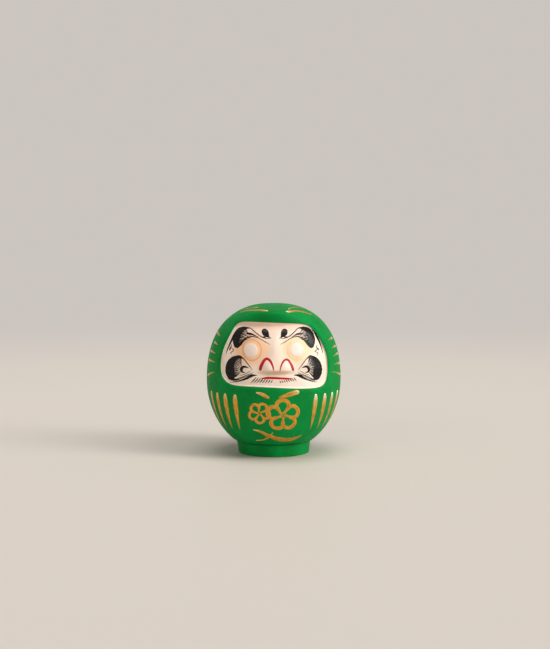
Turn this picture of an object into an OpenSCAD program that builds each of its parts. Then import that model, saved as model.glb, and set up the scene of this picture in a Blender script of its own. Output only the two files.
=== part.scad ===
// Daruma doll: a hollow papier-mache doll with a round hooded body, a recessed
// face and a clay foot. It stands on z = 0 and faces -Y, and Z is its axis.

/* [Body] */
// Full height of the doll, from the foot's underside to the crown
doll_h = 120; // [100:1:150]
// Width of the body at its widest
body_w = 108; // [94:1:132]
// Height of the widest place above the ground
belly_z = 58; // [48:1:70]
// Squareness of the upper body: 2 is an ellipse, more is boxier
crown_power = 2.4; // [2.2:0.1:3]
// Height at which the lower body's curve would close to a point
lower_tip_z = -1; // [-6:0.5:0]
// Thickness of the paper shell
shell_wall = 2.2; // [1.4:0.1:3.4]

/* [Brow] */
// How far the brow stands out in front of the head
brow_reach = 4.5; // [2:0.5:6]
// Radius of the brow's round section
brow_r = 6.5; // [4:0.5:8]
// Height above the window at which the brow fades into the sides of the head
brow_gap = 3.5; // [2:0.5:5]
// Direction in which the brow stands out, in degrees above level
brow_angle = 50; // [40:1:60]

/* [Face window] */
// Height of the window
window_h = 48.5; // [42:0.5:50]
// Depth of the window's upper edge below the crown
window_drop = 13.5; // [10:0.5:20]
// Width of the window at its lower corners
window_w = 82; // [70:1:86]
// Distance between the centres of the two upper corners' arcs
window_top_span = 34; // [28:1:38]
// Radius of the window's upper corners
window_top_r = 20; // [16:0.5:22]
// Radius of the window's lower corners
window_bottom_r = 9; // [7:0.5:12]
// Depth of the window's floor below the body's surface
recess_d = 3.4; // [2.4:0.1:5]

/* [Face coat] */
// Thickness of the white coat that lines the window
coat_t = 0.8; // [0.4:0.1:1.2]
// Step from the robe's surface down to the coat's edge
coat_step = 0.5; // [0.2:0.1:1]
// Radius of the nose at its tip
nose_tip_r = 8; // [6:0.5:10]
// Radius of the nose at its root between the brows
nose_root_r = 4; // [3:0.5:6]
// Length of the nose, from its root to its tip
nose_len = 22; // [16:1:24]
// Height of the nose's tip above the window's lower edge
nose_up = 18; // [16:0.5:22]
// How far the nose's tip stands out of the face
nose_proud = 2.4; // [1.6:0.2:3]
// How deep the nose's root lies in the face
nose_sink = 1; // [0.6:0.2:2]

/* [Seam] */
// Width of the paper strip over the joint
strip_w = 9; // [5:0.5:14]
// Thickness of the paper strip
strip_t = 0.5; // [0.3:0.1:1]

/* [Foot] */
// Height of the foot below the body
foot_h = 10.5; // [8:0.5:14]
// Radius of the foot where it meets the body
foot_top_r = 29.6; // [26:0.2:31]
// Radius of the foot on the ground
foot_bottom_r = 27.8; // [24:0.2:29]
// Bevel around the foot's two edges
foot_bevel = 0.9; // [0.4:0.1:1.5]
// Radius of the plug that reaches up into the shell
plug_r = 23; // [16:0.5:24]
// Height of the plug above the top of the foot
plug_h = 14; // [8:0.5:20]
// Radius of the rounded rim on top of the plug
plug_round = 4; // [2:0.5:6]
// Gap for glue around the plug
glue_gap = 0.2; // [0.1:0.05:0.4]
// Radius of the hole for the painter's stick
stick_r = 4; // [2.5:0.5:6]

/* [Hidden] */
$fn = 96;
// Longer than anything in the doll, for cutting shapes that have to reach past it
room = 2 * doll_h;

body_r = body_w / 2;
crown_h = doll_h - belly_z;
lower_h = belly_z - lower_tip_z;
// Number of straight steps in each of the outline's two curves
curve_steps = 16;
// Number of straight steps around each of the window's corners
corner_steps = 8;

window_top_z = doll_h - window_drop;
window_low_z = window_top_z - window_h;
// Middle of the brow's round section, as [distance from the brow's own axis, height]
brow_fade_z = window_top_z + brow_gap;
brow_c = [body_radius(brow_fade_z), brow_fade_z] - brow_r * [cos(brow_angle), sin(brow_angle)];

// Centres of the window's corner arcs, on its right, as [x, z]
corner_top = [window_top_span / 2, window_top_z - window_top_r];
corner_bottom = [window_w / 2 - window_bottom_r, window_low_z + window_bottom_r];
side_normal = direction(corner_top, corner_bottom)
    + acos((window_top_r - window_bottom_r) / norm(corner_bottom - corner_top));
// The window is cut back from the front only as far as this plane
window_back_y = -body_r * 0.3;

// Direction from one point to another
function direction(from, to) = atan2(to.y - from.y, to.x - from.x);

// Radius of the body's surface at height z
function body_radius(z) = z > belly_z
    ? body_r * pow(1 - pow((z - belly_z) / crown_h, crown_power), 1 / crown_power)
    : body_r * sqrt(1 - pow((belly_z - z) / lower_h, 2));

// A point on the upper body's outline, at angle a above the widest place
function crown_point(a, inset) = [
    (body_r - inset) * pow(cos(a), 2 / crown_power),
    belly_z + (crown_h - inset) * pow(sin(a), 2 / crown_power)
];

// A point on the lower body's outline, at angle a below the widest place
function lower_point(a, inset) = [
    (body_r - inset) * cos(a),
    belly_z - (lower_h - inset) * sin(a)
];

// Solid inside the surface that lies inset below the robe's, cut flat at floor_z
module body_solid(inset, floor_z) {
    lowest = asin((belly_z - floor_z) / (lower_h - inset));
    rotate_extrude()
        polygon(concat(
            [[0, floor_z]],
            [for (i = [curve_steps : -1 : 1]) lower_point(lowest * i / curve_steps, inset)],
            [for (i = [0 : curve_steps - 1]) crown_point(90 * i / curve_steps, inset)],
            [[0, doll_h - inset]]
        ));
}

// Rounded ridge over the face, a ring set forward so that it fades out at the sides
module brow_ring() {
    translate([0, -brow_reach, 0])
        rotate_extrude()
            translate(brow_c)
                circle(brow_r);
}

// The doll's outside without its foot
module outer_body() {
    body_solid(0, foot_h);
    brow_ring();
}

// Points along an arc, from one direction to another
function arc_points(centre, r, from, to) = [
    for (i = [0 : corner_steps])
        let (a = from + (to - from) * i / corner_steps)
        centre + r * [cos(a), sin(a)]
];

// The face window's outline, grown on all sides
module window_outline(grow) {
    right = concat(
        arc_points(corner_top, window_top_r + grow, 90, side_normal),
        arc_points(corner_bottom, window_bottom_r + grow, side_normal, -90)
    );
    last = len(right) - 1;
    polygon(concat(right, [for (i = [last : -1 : 0]) [-right[i].x, right[i].y]]));
}

// Everything in the grown window that lies outside the surface at the given depth
module window_space(grow, depth) {
    difference() {
        translate([0, window_back_y, 0])
            rotate([90, 0, 0])
                linear_extrude(room)
                    window_outline(grow);
        body_solid(depth, foot_h + shell_wall);
    }
}

// The nose: a tapered, round-ended form that lies along the face
module nose(inset) {
    tip_z = window_low_z + nose_up;
    root_z = tip_z + nose_len;
    face_d = recess_d - coat_t;
    tip_y = face_d - nose_proud + nose_tip_r - body_radius(tip_z);
    root_y = face_d + nose_sink + nose_root_r - body_radius(root_z);
    lean = atan2(root_y - tip_y, nose_len);
    translate([0, tip_y, tip_z])
        rotate([-lean, 0, 0]) {
            sphere(nose_tip_r - inset);
            cylinder(r1 = nose_tip_r - inset, r2 = nose_root_r - inset, h = nose_len);
        }
}

// The hollow inside both halves, stepped back behind the window and the nose
module cavity() {
    difference() {
        body_solid(shell_wall, foot_h + shell_wall);
        window_space(shell_wall, recess_d + shell_wall);
    }
    translate([0, 0, foot_h - 1])
        cylinder(r = plug_r + glue_gap, h = shell_wall + 2);
}

// The band along the joint, on both sides of it
module seam_band() {
    translate([-room / 2, -strip_w / 2, foot_h - 1])
        cube([room, strip_w, room]);
}

// Half space on the side of the joint that the sign points to
module half_space(sign) {
    translate([-room / 2, sign > 0 ? 0 : -room, -room / 2])
        cube(room);
}

// Both halves' paper, with a step along the joint for the strip
module paper_shell() {
    difference() {
        outer_body();
        cavity();
        difference() {
            seam_band();
            body_solid(strip_t, foot_h - 2);
        }
    }
}

module seam_strip() {
    color("darkseagreen")
        difference() {
            intersection() {
                outer_body();
                seam_band();
            }
            body_solid(strip_t, foot_h - 2);
        }
}

module front_shell() {
    color("green") {
        difference() {
            intersection() {
                paper_shell();
                half_space(-1);
            }
            window_space(0, recess_d);
        }
        difference() {
            nose(coat_t);
            body_solid(recess_d + shell_wall / 2, foot_h);
        }
    }
}

module back_shell() {
    color("darkgreen")
        intersection() {
            paper_shell();
            half_space(1);
        }
}

module face_layer() {
    color("seashell")
        difference() {
            intersection() {
                window_space(0, recess_d);
                union() {
                    body_solid(coat_step, foot_h);
                    nose(0);
                }
            }
            difference() {
                window_space(-coat_t, recess_d - coat_t);
                nose(0);
            }
            nose(coat_t);
        }
}

module foot_weight() {
    plug_top = foot_h + plug_h;
    rim = [plug_r - plug_round, plug_top - plug_round];
    color("sienna")
        difference() {
            rotate_extrude() {
                polygon([
                    [0, 0],
                    [foot_bottom_r - foot_bevel, 0],
                    [foot_bottom_r, foot_bevel],
                    [foot_top_r, foot_h - foot_bevel],
                    [foot_top_r - foot_bevel, foot_h],
                    [plug_r, foot_h],
                    [plug_r, rim.y],
                    rim,
                    [rim.x, plug_top],
                    [0, plug_top]
                ]);
                translate(rim)
                    circle(plug_round);
            }
            translate([0, 0, -1])
                cylinder(r = stick_r, h = plug_top + 2);
        }
}

front_shell();
back_shell();
seam_strip();
foot_weight();
face_layer();
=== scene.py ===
# %% [markdown]
# # A daruma doll of pasted paper
# The doll is a hollow paper shell on a heavy clay foot. Its robe is one green coat that goes over
# both halves of the shell, and its face lies in a window that is pressed into the front. This
# lesson builds the shell, the face, the seam and the foot, and then paints the brush strokes on
# them as thin raised films, because a brushed line keeps its shape in any light and at any
# distance only if it is there as a shape.
# The fixed frame comes first: every size below is read from it or measured against it.

import math

import bmesh
import bpy
import numpy as np
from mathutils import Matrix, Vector, noise
from mathutils.bvhtree import BVHTree


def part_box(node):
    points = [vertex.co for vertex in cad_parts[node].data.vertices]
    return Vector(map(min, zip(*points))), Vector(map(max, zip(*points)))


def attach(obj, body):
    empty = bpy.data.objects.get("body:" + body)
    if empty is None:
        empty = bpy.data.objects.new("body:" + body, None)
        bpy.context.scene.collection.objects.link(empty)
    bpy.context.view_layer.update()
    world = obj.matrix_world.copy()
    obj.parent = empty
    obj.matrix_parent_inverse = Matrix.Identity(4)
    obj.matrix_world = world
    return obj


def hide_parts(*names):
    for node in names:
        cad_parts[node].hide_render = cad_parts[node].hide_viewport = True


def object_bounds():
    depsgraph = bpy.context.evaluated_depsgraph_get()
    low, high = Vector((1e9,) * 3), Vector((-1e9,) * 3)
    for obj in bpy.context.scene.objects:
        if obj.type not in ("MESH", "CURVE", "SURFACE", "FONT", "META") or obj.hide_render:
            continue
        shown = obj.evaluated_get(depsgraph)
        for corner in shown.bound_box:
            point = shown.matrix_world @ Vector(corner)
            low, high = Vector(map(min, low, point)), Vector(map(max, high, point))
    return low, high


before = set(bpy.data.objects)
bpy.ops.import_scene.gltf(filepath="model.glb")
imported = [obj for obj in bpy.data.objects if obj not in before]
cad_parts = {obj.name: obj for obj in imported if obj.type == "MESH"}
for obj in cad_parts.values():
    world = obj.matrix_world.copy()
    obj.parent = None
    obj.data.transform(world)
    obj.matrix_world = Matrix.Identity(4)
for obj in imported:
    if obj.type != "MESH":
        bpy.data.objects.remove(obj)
cad_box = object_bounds()
print("frame box", [tuple(round(x, 4) for x in corner) for corner in cad_box])

# %% [markdown]
# Blender works in metres, but a doll of this size is easier to think about in millimetres. The
# meshes are therefore made in millimetres and scaled once, when a piece is finished. The painted
# skin stays a little inside the frame's box, so that its unevenness never leaves it.

# %% Sizes of the doll, in millimetres
MM = 0.001
doll_high = cad_box[1] / MM
face_low, face_high = [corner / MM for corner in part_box("face_layer")]
foot_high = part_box("foot_weight")[1] / MM
skin_inset = 0.5
body_r = doll_high.x - skin_inset
crown_z = doll_high.z - skin_inset
joint_z = (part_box("front_shell")[0] / MM).z
belly_z = 58.0
lower_tip_z = -1.0
crown_power = 2.4
print("body radius", round(body_r, 2), "crown", round(crown_z, 2), "foot joint", round(joint_z, 2))

# %% [markdown]
# ## The form of the body
# The paper is pasted over a turned wooden form, so the body is round in plan. Above its widest
# place it follows a superellipse, which is fuller at the shoulders than a ball, and below it an
# ellipse that runs under to the foot. At the front the head comes forward into a hood with a
# brim, and that is one number for each height: how many times deeper the front is than the round.

# %% The round body and the hood
hood_root_z = 99.0
hood_z = 107.5
brim_z = 114.1
hood_front = 38.3
brim_front = 39.8
brim_softness = 1.3
clear_gap = 30.0
dome_power = 2.1
dome_reach = 46.9


def smooth(value):
    """A soft step from 0 to 1."""
    value = min(max(value, 0.0), 1.0)
    return value * value * (3 - 2 * value)


def body_radius(z):
    """The round body's radius at a height."""
    if z > belly_z:
        share = min((z - belly_z) / (crown_z - belly_z), 1.0)
        return body_r * (1 - share**crown_power) ** (1 / crown_power)
    share = (belly_z - z) / (belly_z - lower_tip_z)
    return body_r * math.sqrt(max(1 - share**2, 0.0))


def hood_depth(z):
    """How far the hood's middle stands in front of the axis: the brim's band, blended into the dome."""
    slope = (hood_front - brim_front) / (brim_z - hood_z)
    band = hood_front - slope * (z - hood_z)
    share = min(max((z - hood_z) / (crown_z - hood_z), 0.0), 1.0)
    dome = dome_reach * (1 - share**dome_power) ** (1 / dome_power)
    gap = (band - dome) / brim_softness
    if gap > clear_gap:
        return dome
    return band - brim_softness * math.log1p(math.exp(gap))


def hood_scale(z):
    """How many times deeper the front is than the round body at a height."""
    if z < hood_root_z:
        return 1.0
    round_r = max(body_radius(z), 0.01)
    above = max(hood_depth(z), 0.0) / round_r
    return 1 + (above - 1) * smooth((z - hood_root_z) / (hood_z - hood_root_z))


def robe_point(x, z, inset=0.0):
    """The place on the front of the body at a width and a height."""
    radius = body_radius(z) - inset
    depth = hood_scale(z) * math.sqrt(max(radius**2 - x**2, 0.0))
    return Vector((x, -depth, z))


print("hood depth at the brim", round(hood_depth(brim_z), 2), "round", round(body_radius(brim_z), 2))

# %% [markdown]
# Pasted paper is never quite even. Two slow noises, one about as wide as a thumb and one as wide as
# a paper edge, push the skin in and out by a few tenths of a millimetre. Both halves of the shell
# use the same noise, so they still meet at the seam.

# %% The unevenness of pasted paper
thumb_wide = 24.0
thumb_lift = 0.2
edge_wide = 4.5
edge_lift = 0.06


def pasted(point, amount=1.0):
    """Moves a point of the skin by the unevenness of the paper under the paint."""
    slow = thumb_lift * noise.noise(point / thumb_wide)
    quick = edge_lift * noise.noise(point / edge_wide + Vector((7, 3, 1)))
    away = Vector((point.x, point.y, 0.7 * (point.z - belly_z))).normalized()
    return point + away * (slow + quick) * amount


belly_point = Vector((0, -body_r, 50))
print("a belly point moves", round((pasted(belly_point) - belly_point).y, 3))

# %% [markdown]
# ## The window and its rays
# The window is a soft four-cornered shape, wider below than above and a little askew, as hand work
# is. Its outline is drawn through points on a window of 82 by 48.5 millimetres and is then fitted
# to the frame's window. The front of the shell is built on rays that leave one centre in the
# window and end at the doll's outline. Each ray is measured along the curved skin, so a rim that
# is 4 mm wide is 4 mm wide all round, also at the steep sides.


# %% A line through its points
def through(points, spacing):
    """Points close together on a smooth line through (across, up, half width) points."""
    line = []
    padded = [points[0]] + list(points) + [points[-1]]
    for before, here, there, after in zip(padded, padded[1:], padded[2:], padded[3:]):
        length = math.dist(here[:2], there[:2])
        count = max(math.ceil(length / spacing), 2)
        for i in range(count):
            t = i / count
            place = []
            for a, b, c, d in zip(before, here, there, after):
                bend = (2 * b) + (c - a) * t + (2 * a - 5 * b + 4 * c - d) * t**2
                place.append((bend + (3 * b - a - 3 * c + d) * t**3) / 2)
            line.append(place)
    line.append(list(points[-1]))
    return [(Vector(p[:2]), max(p[2], 0.02)) for p in line]


# %% The window's outline
drawn_w = 82.0
drawn_h = 48.5
window_centre = Vector((0.0, (face_low.z + face_high.z) / 2))
fit_x = (face_high.x - face_low.x) / drawn_w
fit_z = (face_high.z - face_low.z) / drawn_h
window_line = [
    (-42.0, -10.0),
    (-41.6, -4.3),
    (-40.2, 2.0),
    (-38.0, 7.8),
    (-35.5, 12.9),
    (-32.9, 17.7),
    (-30.6, 21.2),
    (-27.6, 23.5),
    (-23.0, 24.5),
    (-13.0, 24.6),
    (-1.2, 24.2),
    (10.7, 23.6),
    (19.8, 22.9),
    (25.0, 21.6),
    (29.2, 18.8),
    (33.0, 13.6),
    (36.5, 7.8),
    (39.0, 2.1),
    (40.5, -4.3),
    (40.8, -11.3),
    (40.4, -17.1),
    (39.0, -21.6),
    (36.2, -24.4),
    (31.8, -25.5),
    (22.0, -25.5),
    (10.0, -24.8),
    (-1.7, -24.1),
    (-13.3, -23.7),
    (-25.0, -23.6),
    (-32.3, -23.2),
    (-36.9, -21.6),
    (-39.9, -18.8),
    (-41.5, -15.0),
]
fitted = [(x * fit_x, z * fit_z, 1.0) for x, z in window_line]
drawn = through(fitted[-2:] + fitted + fitted[:3], 0.5)
edge_angles = [math.atan2(p.y, p.x) % (2 * math.pi) for p, _ in drawn]
edge_reaches = [p.length for p, _ in drawn]
search_reach = 95.0
halvings = 40


def window_reach(angle):
    """The distance from the window's centre to its outline."""
    return float(np.interp(angle, edge_angles, edge_reaches, period=2 * math.pi))


def doll_reach(direction):
    """The distance from the window's centre to the doll's outline, which ends at the foot joint."""
    near = 0.0
    far = search_reach
    for _ in range(halvings):
        middle = (near + far) / 2
        place = window_centre + direction * middle
        inside = joint_z < place.y < crown_z and abs(place.x) < body_radius(place.y)
        near, far = (middle, far) if inside else (near, middle)
    return near


print("window reaches", round(min(edge_reaches), 1), "to", round(max(edge_reaches), 1))

# %% The rays, measured along the skin
columns = 208
ray_samples = 260
least_slant = 0.6


def make_ray(index):
    """One ray: its direction, its distances, and how long the skin is up to each of them."""
    angle = 2 * math.pi * index / columns
    direction = Vector((math.cos(angle), math.sin(angle)))
    edge = window_reach(angle)
    end = doll_reach(direction)
    spread = [math.sin(math.pi / 2 * i / ray_samples) for i in range(ray_samples + 1)]
    distances = [end * s for s in spread]
    points = [robe_point(direction.x * d, window_centre.y + direction.y * d) for d in distances]
    lengths = [0.0]
    for here, there in zip(points, points[1:]):
        lengths.append(lengths[-1] + (there - here).length)
    edge_length = float(np.interp(edge, distances, lengths))
    return {
        "direction": direction,
        "distances": distances,
        "lengths": lengths,
        "edge": edge_length,
        "end": lengths[-1],
    }


def lean_of(index):
    """How much longer a step along a ray is than a step straight away from the outline."""
    ends = []
    for ray in (rays[index - 1], rays[(index + 1) % columns]):
        reach = float(np.interp(ray["edge"], ray["lengths"], ray["distances"]))
        ends.append(ray["direction"] * reach)
    along = (ends[1] - ends[0]).normalized()
    return 1 / max(abs(along.cross(rays[index]["direction"])), least_slant)


rays = [make_ray(i) for i in range(columns)]
leans = [lean_of(i) for i in range(columns)]


def on_ray(index, length):
    """The width and height at a length along a ray's skin."""
    ray = rays[index]
    distance = float(np.interp(length, ray["lengths"], ray["distances"]))
    return ray["direction"].x * distance, window_centre.y + ray["direction"].y * distance


print("skin from the centre to the outline", round(rays[0]["edge"], 1), "of", round(rays[0]["end"], 1))

# %% [markdown]
# ## The face's relief
# The face is not flat: it dips behind the rim in a small round hollow, then it carries a nose with
# a ridge and two wings, full cheeks, eyeballs under the lids and a slight muzzle. Soft bumps that
# are added up give this, and the same sum shapes the coat and the paper under it.

# %% Bumps of the face
rim_depth = 0.6
face_depth = 2.7
hollow_depth = 0.75
hollow_width = 1.4
dish_width = 13
coat_t = 0.8
coat_tuck = 0.3
coat_unevenness = 0.4
relief_fade = 7
nose_x = 0.7
nose_top_z = 101
nose_length = 31
nose_foot_z = 68.2
ridge_end_z = 106
ridge_fade = 12


def mound(x, z, centre_x, centre_z, width, height):
    """A soft round bump, 1 high in its middle."""
    return math.exp(-(((x - centre_x) / width) ** 2) - ((z - centre_z) / height) ** 2)


def nose(x, z):
    """The nose's ridge and wings, which end in a sharp underside."""
    down = smooth((nose_top_z - z) / nose_length)
    ridge_height = 0.6 + 2.5 * down**1.3
    ridge_width = 3.2 + 4.2 * down
    across = math.exp(-abs((x - nose_x) / ridge_width) ** 2.2)
    ridge = ridge_height * across * smooth((ridge_end_z - z) / ridge_fade)
    wings = 1.9 * mound(abs(x - nose_x), z, 7.4, 73.5, 4.2, 5.0)
    underside = smooth((z - nose_foot_z) / 3.0)
    return (ridge + wings) * underside


def relief(x, z):
    """How far the face stands out of its even hollow."""
    cheeks = 1.6 * mound(abs(x), z, 27, 72, 10, 8.5)
    muzzle = 1.0 * mound(x, z, nose_x, 64.5, 13, 5)
    brows = 0.8 * mound(abs(x), z, 25, 98.5, 9, 4.5)
    left_eye = 1.2 * mound(x, z, -18.4, 85.6, 7.2, 7.2)
    right_eye = 1.2 * mound(x, z, 16.2, 85.6, 7.2, 7.2)
    return nose(x, z) + cheeks + muzzle + brows + left_eye + right_eye


def coat_depth(inside):
    """The coat's depth behind the robe's skin, at a distance inside the outline."""
    if inside < 0:
        return rim_depth + coat_tuck
    step = hollow_depth * smooth(inside / hollow_width)
    return rim_depth + step + (face_depth - hollow_depth - rim_depth) * smooth(inside / dish_width)


def face_point(index, inside, extra=0.0):
    """A place on the coat, on a ray, at a distance inside the outline."""
    x, z = on_ray(index, rays[index]["edge"] - inside * leans[index])
    stands = relief(x, z) * smooth(inside / relief_fade)
    return pasted(robe_point(x, z, coat_depth(inside) + extra - stands), coat_unevenness)


print("nose tip stands out", round(relief(nose_x, 72.5), 2))

# %% [markdown]
# ## Growing a skin ring by ring
# A skin with a hole, a rim and a wide outer part is easiest to grow: it starts as a small disc,
# and its edge is extruded again and again, each time to the next ring of places. Every ray keeps
# its own column of faces, so the rim's edges run cleanly all round.

# %% Extruding an edge to the next ring
well_in_front = -20


def disc_rim(bm, sides):
    """A new disc's middle vertex, and its rim in the order of the angle."""
    disc = bmesh.ops.create_circle(bm, cap_ends=True, cap_tris=True, radius=1, segments=sides)["verts"]
    middle = min(disc, key=lambda v: v.co.length)
    rim = [v for v in disc if v is not middle]
    rim.sort(key=lambda v: math.atan2(v.co.y, v.co.x) % (2 * math.pi))
    return middle, rim


def next_ring(bm, ring, places):
    """Extrudes a closed ring of vertices once and puts the new ring at its places."""
    column_of = {vert: i for i, vert in enumerate(ring)}
    edges = [bm.edges.get((ring[i - 1], ring[i])) for i in range(len(ring))]
    grown = bmesh.ops.extrude_edge_only(bm, edges=edges)["geom"]
    fresh = [part for part in grown if isinstance(part, bmesh.types.BMVert)]
    following = [None] * len(ring)
    for vert in fresh:
        parent = next(e.other_vert(vert) for e in vert.link_edges if e.other_vert(vert) in column_of)
        following[column_of[parent]] = vert
    for vert, place in zip(following, places):
        vert.co = place
    return following


def grow_skin(rings):
    """A skin that starts as a disc, is extruded outwards through the rings, and faces forwards."""
    bm = bmesh.new()
    centre, rim = disc_rim(bm, columns)
    for vert, place in zip(rim, rings[0]):
        vert.co = place
    centre.co = sum(rings[0], Vector()) / columns
    for places in rings[1:]:
        rim = next_ring(bm, rim, places)
    bmesh.ops.recalc_face_normals(bm, faces=bm.faces)
    if sum(f.normal.y for f in bm.faces if f.calc_center_median().y < well_in_front) > 0:
        bmesh.ops.reverse_faces(bm, faces=bm.faces)
    return bm


# %% [markdown]
# ## The front of the shell
# The front half runs from under the face coat, up the pocket's wall, over the rounded rim and then
# round to the seam. The rim is a low roll: the paper is folded over there, and the paint makes it
# fatter.

# %% Heights of the rim
rim_profile = [
    (-0.9, 3.3),
    (-0.35, 2.6),
    (0.0, 1.3),
    (0.02, 0.75),
    (0.12, 0.35),
    (0.35, 0.0),
    (0.8, -0.26),
    (1.5, -0.44),
    (2.4, -0.52),
    (3.4, -0.5),
    (4.6, -0.4),
    (6.0, -0.24),
    (7.6, -0.1),
    (9.4, 0.0),
]
floor_rings = 18
floor_stop = 1.5
under_coat = 0.05
outer_steps = 34


def inner_ring(share, stop, extra=0.0):
    """A ring at a share of the way from the centre to a stop inside the outline."""
    places = []
    for i in range(columns):
        inside = rays[i]["edge"] / leans[i] * (1 - share) + stop * share
        places.append(face_point(i, inside, extra))
    return places


def rim_ring(outside, depth):
    """A ring of the pocket's wall or of the rolled rim."""
    places = []
    for i in range(columns):
        x, z = on_ray(i, rays[i]["edge"] + outside * leans[i])
        places.append(pasted(robe_point(x, z, depth)))
    return places


def outer_ring(step):
    """A ring of the robe between the rim and the seam or the foot."""
    places = []
    for i in range(columns):
        first = rays[i]["edge"] + rim_profile[-1][0] * leans[i]
        length = first + (rays[i]["end"] - first) * step / outer_steps
        x, z = on_ray(i, length)
        place = pasted(robe_point(x, z))
        if step == outer_steps and z > joint_z + 0.01:
            place.y = 0.0
        places.append(place)
    return places


floor_shares = [(i + 0.4) / floor_rings for i in range(floor_rings)]
front_rings = [inner_ring(share, floor_stop, coat_t + under_coat) for share in floor_shares]
front_rings += [rim_ring(outside, depth) for outside, depth in rim_profile]
front_rings += [outer_ring(step) for step in range(1, outer_steps + 1)]
front_skin = grow_skin(front_rings)
print("front skin", len(front_skin.verts), "vertices in", len(front_rings), "rings")

# %% [markdown]
# ## The face coat
# The face is a thin coat of shell lime over the paper. It starts just under the rolled rim, drops
# round a small hollow and then carries the relief. It grows on the same rays as the shell, with
# more rings, because the nose and the eyelids need them.

# %% The coat's skin
coat_even_rings = 38
coat_even_stop = 3.3
coat_edge_insides = [2.8, 2.4, 2.0, 1.6, 1.25, 0.95, 0.65, 0.4, 0.2, 0.06, -0.2]
coat_rings = [inner_ring((i + 0.5) / coat_even_rings, coat_even_stop) for i in range(coat_even_rings)]
coat_rings += [inner_ring(1.0, inside) for inside in coat_edge_insides]
coat_skin = grow_skin(coat_rings)
print("coat", len(coat_skin.verts), "vertices in", len(coat_rings), "rings")

# %% [markdown]
# ## The back of the shell
# The back half is round, so a profile from the crown to the foot joint is spun through half a
# turn. The crown's end of the profile lies on the axis, so its copies are merged into one pole
# before the unevenness goes on.

# %% Spinning the back
back_steps = 112
profile_steps = 84
fine_steps = 2000
crown_crowding = 2.2
same_place = 0.0005


def profile_points(count):
    """Even steps along the body's outline, from the crown down to the foot joint."""
    down = [(i / fine_steps) ** crown_crowding for i in range(fine_steps + 1)]
    fine = [crown_z - (crown_z - joint_z) * share for share in down]
    flat = [Vector((body_radius(z), 0, z)) for z in fine]
    lengths = [0.0]
    for here, there in zip(flat, flat[1:]):
        lengths.append(lengths[-1] + (there - here).length)
    wanted = [lengths[-1] * i / count for i in range(count + 1)]
    heights = np.interp(wanted, lengths, fine)
    return [Vector((body_radius(float(z)), 0, float(z))) for z in heights]


def spin_profile(points, steps, closed):
    """Spins an open line half round the doll's axis, or a closed line all the way round."""
    bm = bmesh.new()
    line = [bmesh.ops.create_vert(bm, co=point)["vert"][0] for point in points]
    followers = line[1:] + line[:1] if closed else line[1:]
    edges = [bm.edges.new((here, there)) for here, there in zip(line, followers)]
    bmesh.ops.spin(
        bm,
        geom=line + edges,
        cent=(0, 0, 0),
        axis=(0, 0, 1),
        angle=2 * math.pi if closed else math.pi,
        steps=steps,
        use_merge=closed,
    )
    bmesh.ops.remove_doubles(bm, verts=bm.verts, dist=same_place)
    bmesh.ops.recalc_face_normals(bm, faces=bm.faces)
    return bm


back_skin = spin_profile(profile_points(profile_steps), back_steps, closed=False)
for vert in back_skin.verts:
    vert.co = pasted(vert.co)
if sum(f.normal.y for f in back_skin.faces) < 0:
    bmesh.ops.reverse_faces(back_skin, faces=back_skin.faces)
print("back", len(back_skin.verts), "vertices")

# %% [markdown]
# ## Finding the surface again
# The seam strip and all brush strokes lie on these skins. A search tree answers where a straight
# line meets a skin, or which place on it is nearest, so a stroke can be drawn flat and then be
# laid on the doll from the front, from the side or from above.


# %% Search trees of the skins
def search_tree(*meshes):
    """One search tree for several skins."""
    corners = []
    faces = []
    for bm in meshes:
        bm.verts.index_update()
        start = len(corners)
        corners += [vert.co.copy() for vert in bm.verts]
        faces += [[start + vert.index for vert in face.verts] for face in bm.faces]
    return BVHTree.FromPolygons(corners, faces)


robe_tree = search_tree(front_skin, back_skin)
coat_tree = search_tree(coat_skin)
start_r = 80
start_z = 150


def from_front(tree, x, z):
    """Where a line straight from the front meets a skin."""
    place, normal, _, _ = tree.ray_cast(Vector((x, -start_r, z)), Vector((0, 1, 0)))
    return place, normal


def from_side(tree, arc, z):
    """Where a line towards the axis meets a skin; arc is measured round the belly from the front."""
    angle = arc / body_r
    outward = Vector((math.sin(angle), -math.cos(angle), 0))
    place, normal, _, _ = tree.ray_cast(outward * start_r + Vector((0, 0, z)), -outward)
    return place, normal


def from_above(tree, x, y):
    """Where a line straight down meets a skin."""
    place, normal, _, _ = tree.ray_cast(Vector((x, y, start_z)), Vector((0, 0, -1)))
    return place, normal


print("front of the robe at z 50:", round(from_front(robe_tree, 0, 50)[0].y, 2))

# %% [markdown]
# ## The seam strip
# A strip of paper is pasted over the joint of the two halves, from one side of the foot over the
# crown to the other side. Here it is a long grid that is laid along the joint and lifted by a
# quarter of a millimetre, with soft edges that wander a little.

# %% Laying the strip over the joint
strip_half_w = 4.3
strip_lift = 0.24
strip_soft_edge = 0.32
strip_sink = 0.03
strip_columns = 12
one_side = profile_points(120)
joint_line = [Vector((-p.x, 0, p.z)) for p in reversed(one_side)] + one_side[1:]


def lay_strip():
    """The strip's grid on the robe."""
    bm = bmesh.new()
    rows = len(joint_line) - 1
    bmesh.ops.create_grid(bm, x_segments=rows, y_segments=strip_columns, size=1)
    for vert in bm.verts:
        row = round((vert.co.x + 1) / 2 * rows)
        side = vert.co.y
        middle = joint_line[row]
        wander = 1 + 0.05 * noise.noise(Vector((row * 0.21, 3 * side / abs(side or 1), 0)))
        wanted = middle + Vector((0, side * strip_half_w * wander, 0))
        place, normal, _, _ = robe_tree.find_nearest(wanted)
        lift = strip_lift * smooth((1 - abs(side)) / strip_soft_edge) - strip_sink
        vert.co = place + normal * lift
    bmesh.ops.recalc_face_normals(bm, faces=bm.faces)
    if sum(f.normal.z for f in bm.faces if f.calc_center_median().z > hood_root_z) < 0:
        bmesh.ops.reverse_faces(bm, faces=bm.faces)
    return bm


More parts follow.
